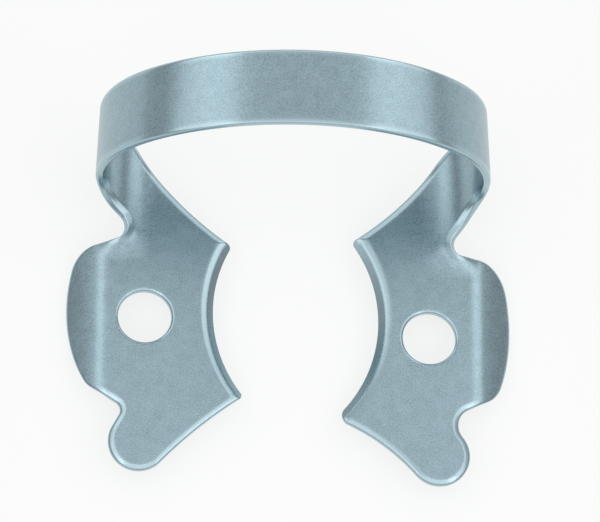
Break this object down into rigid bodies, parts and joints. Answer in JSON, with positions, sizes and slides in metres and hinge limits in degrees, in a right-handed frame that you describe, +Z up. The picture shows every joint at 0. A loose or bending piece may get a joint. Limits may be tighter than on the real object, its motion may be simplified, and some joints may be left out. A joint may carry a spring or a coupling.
{
  "type": "rubber dam clamp",
  "caption": "Winged rubber dam clamp of bent spring-steel sheet: an arched bow joins pronged jaws, each with a round forceps hole.",
  "frame": {"origin": "centre of the box's bottom face, under the opening between the jaws, at the height of the wing rims", "axes": "+X from the left jaw to the right jaw, +Y from the front lobes back to the bow, +Z up from the jaw plates to the bow's crown"},
  "size_m": [0.0276, 0.0226, 0.0156],
  "materials": {
    "steel": "satin"
  },
  "bodies": {
    "root": {"clamp": "steel"}
  },
  "joints": []
}
